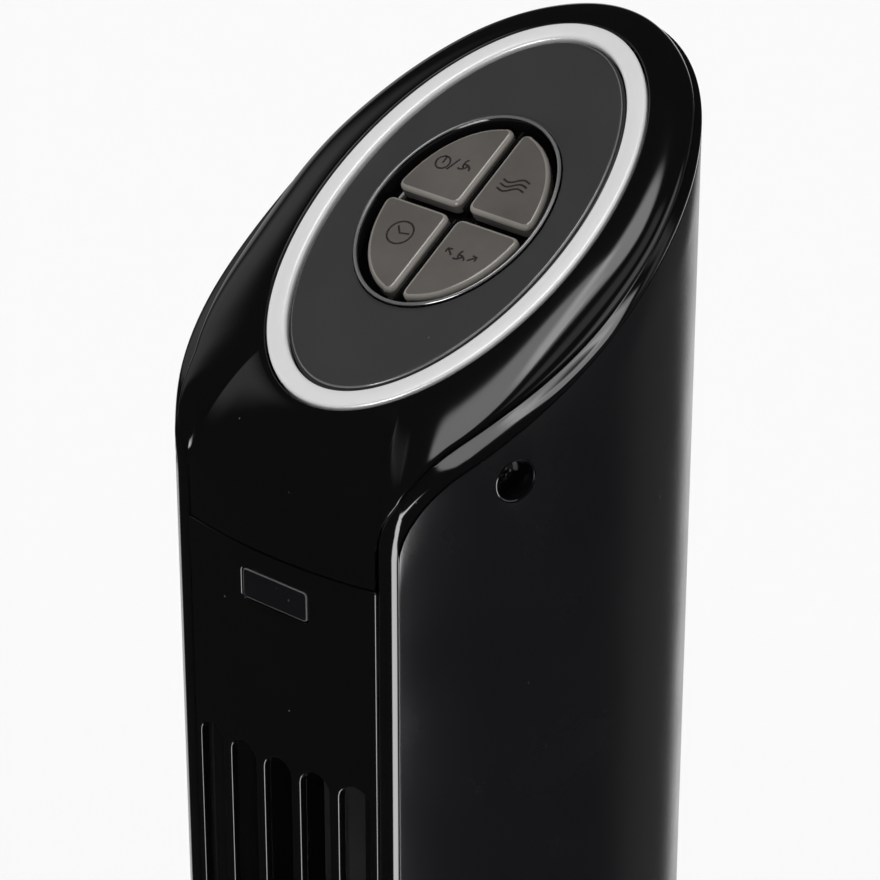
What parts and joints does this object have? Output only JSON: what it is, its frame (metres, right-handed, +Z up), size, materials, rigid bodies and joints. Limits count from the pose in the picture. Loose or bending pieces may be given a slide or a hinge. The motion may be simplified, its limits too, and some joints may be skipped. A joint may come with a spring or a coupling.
{
  "type": "tower fan",
  "caption": "Oscillating tower fan: a slim upright column with a slotted air outlet and a slanted oval control panel, turning on a round domed base.",
  "frame": {"origin": "centre of the round base, on the floor under its rubber feet", "axes": "+Z up; the air outlet faces -Y at rest; +X to the fan's left-hand side seen from behind, which is the viewer's right"},
  "size_m": [0.27, 0.27, 0.7784],
  "materials": {
    "shell_gloss": "high-gloss black moulding",
    "shell_satin": "satin black moulding",
    "bezel_gloss": "high-gloss black moulding",
    "fascia_grey": "semi-matt dark grey film",
    "ring_silver": "satin silver plating with bright bevels",
    "button_smoke": "smoked clear buttons with light icons",
    "window_smoke": "dark infrared window",
    "rubber_black": "matt rubber",
    "steel": "zinc-plated and rolled steel",
    "rotor_cast": "cast rotor",
    "copper_wire": "enamelled copper wire",
    "acetal_white": "natural acetal",
    "board_green": "laminate with green solder mask"
  },
  "bodies": {
    "base": {"base_cover": "shell_gloss", "base_plate": "shell_satin", "ballast_weight": "steel", "bearing_ring": "acetal_white", "swing_motor": "steel", "cord_gland": "rubber_black", "rubber_foot_1": "rubber_black", "rubber_foot_2": "rubber_black", "rubber_foot_3": "rubber_black", "rubber_foot_4": "rubber_black", "base_screw_1": "steel", "base_screw_2": "steel", "base_screw_3": "steel", "base_screw_4": "steel"},
    "crank": {"crank_disc": "acetal_white", "crank_roller": "acetal_white"},
    "tower": {"swing_arm": "acetal_white", "tower_foot": "shell_gloss", "front_frame": "shell_gloss", "front_grille": "shell_gloss", "rear_shell": "shell_satin", "ir_window": "window_smoke", "ir_receiver": "shell_satin", "shell_screw_right": "steel", "shell_screw_left": "steel", "scroll_wall": "shell_satin", "vortex_tongue": "shell_satin", "upper_end_plate": "shell_satin", "lower_end_plate": "shell_satin", "upper_bush": "rubber_black", "lower_bush": "steel", "motor_can": "steel", "stator_core": "steel", "winding_lower": "copper_wire", "winding_upper": "copper_wire", "capacitor": "shell_satin", "power_board": "board_green", "top_cap": "shell_gloss", "trim_ring": "ring_silver", "fascia_panel": "fascia_grey", "control_deck": "shell_satin", "button_bezel": "bezel_gloss", "control_board": "board_green", "switch_power": "shell_satin", "switch_speed": "shell_satin", "switch_timer": "shell_satin", "switch_swing": "shell_satin"},
    "impeller": {"impeller": "shell_satin", "impeller_shaft": "steel", "motor_rotor": "rotor_cast"},
    "button_power": {"button_power": "button_smoke"},
    "button_speed": {"button_speed": "button_smoke"},
    "button_timer": {"button_timer": "button_smoke"},
    "button_swing": {"button_swing": "button_smoke"}
  },
  "joints": [
    {"name": "tower_swing", "type": "hinge", "parent": "base", "child": "tower", "pos_m": [0, 0, 0.04], "axis": [0, 0, 1], "range_deg": [-35, 35]},
    {"name": "crank_turn", "type": "hinge", "parent": "base", "child": "crank", "pos_m": [0, 0.045, 0.0236], "axis": [0, 0, 1], "range_deg": [-111, 111]},
    {"name": "impeller_spin", "type": "hinge", "parent": "tower", "child": "impeller", "pos_m": [0, 0.008, 0.1], "axis": [0, 0, 1], "continuous": true},
    {"name": "press_power", "type": "slide", "parent": "tower", "child": "button_power", "axis": [0, 0.4802, -0.8771], "range_m": [0, 0.0008], "stiffness_N_per_m": 300},
    {"name": "press_speed", "type": "slide", "parent": "tower", "child": "button_speed", "axis": [0, 0.4802, -0.8771], "range_m": [0, 0.0008], "stiffness_N_per_m": 300},
    {"name": "press_timer", "type": "slide", "parent": "tower", "child": "button_timer", "axis": [0, 0.4802, -0.8771], "range_m": [0, 0.0008], "stiffness_N_per_m": 300},
    {"name": "press_swing", "type": "slide", "parent": "tower", "child": "button_swing", "axis": [0, 0.4802, -0.8771], "range_m": [0, 0.0008], "stiffness_N_per_m": 300}
  ],
  "couplings": [
    {"joint": "crank_turn", "follows": "tower_swing", "ratio": 3.15}
  ]
}
